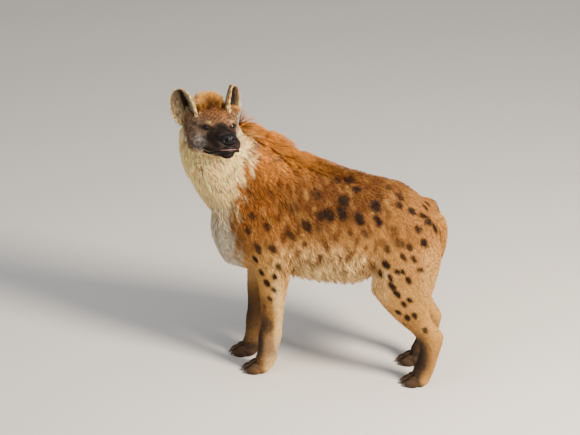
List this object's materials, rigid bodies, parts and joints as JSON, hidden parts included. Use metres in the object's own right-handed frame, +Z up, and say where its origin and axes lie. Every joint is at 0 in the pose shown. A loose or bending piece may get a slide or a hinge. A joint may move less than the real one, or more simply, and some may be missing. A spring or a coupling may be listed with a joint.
{
  "type": "spotted hyena",
  "caption": "Life-size still model of a standing spotted hyena with its head turned back over its left shoulder, short tail hanging between the thighs.",
  "frame": {"origin": "on the floor, under the middle of the whole animal's box", "axes": "+Z up; the body faces -X, its left side faces -Y, and the head is turned back over the left shoulder"},
  "size_m": [0.954, 0.3744, 1.0183],
  "materials": {
    "coat_tawny": "short spotted tawny coat",
    "coat_rufous": "long rufous mane and ruff",
    "coat_face": "short grey-brown coat",
    "coat_dark": "dark brown coat",
    "nose_skin": "moist dark skin",
    "tongue_flesh": "moist pink flesh",
    "eye": "wet, clear",
    "claw_horn": "worn dark horn"
  },
  "bodies": {
    "root": {"torso": "coat_tawny", "neck": "coat_rufous", "head": "coat_face", "tail": "coat_dark", "nose": "nose_skin", "tongue": "tongue_flesh", "eye_left": "eye", "eye_right": "eye", "ear_left": "coat_face", "ear_right": "coat_face", "foreleg_left": "coat_tawny", "foreleg_right": "coat_tawny", "hindleg_left": "coat_tawny", "hindleg_right": "coat_tawny", "forepaw_left": "coat_dark", "claw_forepaw_left_1": "claw_horn", "claw_forepaw_left_2": "claw_horn", "claw_forepaw_left_3": "claw_horn", "claw_forepaw_left_4": "claw_horn", "forepaw_right": "coat_dark", "claw_forepaw_right_1": "claw_horn", "claw_forepaw_right_2": "claw_horn", "claw_forepaw_right_3": "claw_horn", "claw_forepaw_right_4": "claw_horn", "hindpaw_left": "coat_dark", "claw_hindpaw_left_1": "claw_horn", "claw_hindpaw_left_2": "claw_horn", "claw_hindpaw_left_3": "claw_horn", "claw_hindpaw_left_4": "claw_horn", "hindpaw_right": "coat_dark", "claw_hindpaw_right_1": "claw_horn", "claw_hindpaw_right_2": "claw_horn", "claw_hindpaw_right_3": "claw_horn", "claw_hindpaw_right_4": "claw_horn"}
  },
  "joints": []
}
